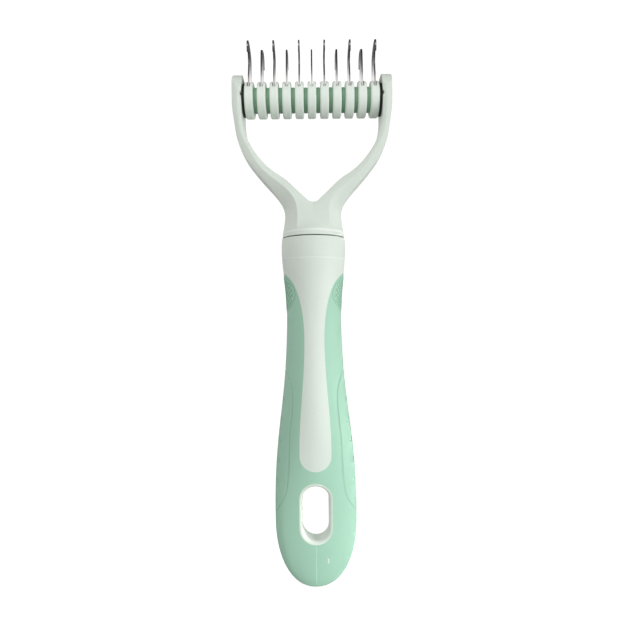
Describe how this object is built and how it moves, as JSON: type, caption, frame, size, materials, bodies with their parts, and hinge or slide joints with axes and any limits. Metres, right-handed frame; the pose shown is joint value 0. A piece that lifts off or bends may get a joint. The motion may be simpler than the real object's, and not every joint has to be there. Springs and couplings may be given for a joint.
{
  "type": "deshedding tool",
  "caption": "Pet deshedding and dematting tool: Y-shaped fork with a tilting drum of hook blades, on a straight handle with a soft grip and a hanging slot.",
  "frame": {"origin": "bottom end of the handle, on its centre line", "axes": "+Z along the handle towards the blades, +X to the right seen from the front, front is -Y"},
  "size_m": [0.0556, 0.0226, 0.1925],
  "materials": {
    "hard_plastic": "fine satin moulded surface, pale sage",
    "soft_grip": "matte thermoplastic rubber, mint green",
    "spacer_plastic": "satin, mint green",
    "blade_steel": "stainless, ground edges",
    "axle_steel": "drawn steel rod",
    "washer_plastic": "black low-friction plastic"
  },
  "bodies": {
    "handle": {"fork": "hard_plastic", "handle_core": "hard_plastic", "grip_overmold": "soft_grip"},
    "drum": {"axle": "axle_steel", "end_washer_left": "washer_plastic", "end_washer_right": "washer_plastic", "blade_ring_01": "hard_plastic", "blade_ring_02": "hard_plastic", "blade_ring_03": "hard_plastic", "blade_ring_04": "hard_plastic", "blade_ring_05": "hard_plastic", "blade_ring_06": "hard_plastic", "blade_ring_07": "hard_plastic", "blade_ring_08": "hard_plastic", "blade_ring_09": "hard_plastic", "blade_ring_10": "hard_plastic", "blade_ring_11": "hard_plastic", "blade_01": "blade_steel", "blade_02": "blade_steel", "blade_03": "blade_steel", "blade_04": "blade_steel", "blade_05": "blade_steel", "blade_06": "blade_steel", "blade_07": "blade_steel", "blade_08": "blade_steel", "blade_09": "blade_steel", "blade_10": "blade_steel", "blade_11": "blade_steel", "spacer_01": "spacer_plastic", "spacer_02": "spacer_plastic", "spacer_03": "spacer_plastic", "spacer_04": "spacer_plastic", "spacer_05": "spacer_plastic", "spacer_06": "spacer_plastic", "spacer_07": "spacer_plastic", "spacer_08": "spacer_plastic", "spacer_09": "spacer_plastic", "spacer_10": "spacer_plastic"}
  },
  "joints": [
    {"name": "drum_tilt", "type": "hinge", "parent": "handle", "child": "drum", "pos_m": [0, 0, 0.1734], "axis": [1, 0, 0], "range_deg": [-30, 30]}
  ]
}
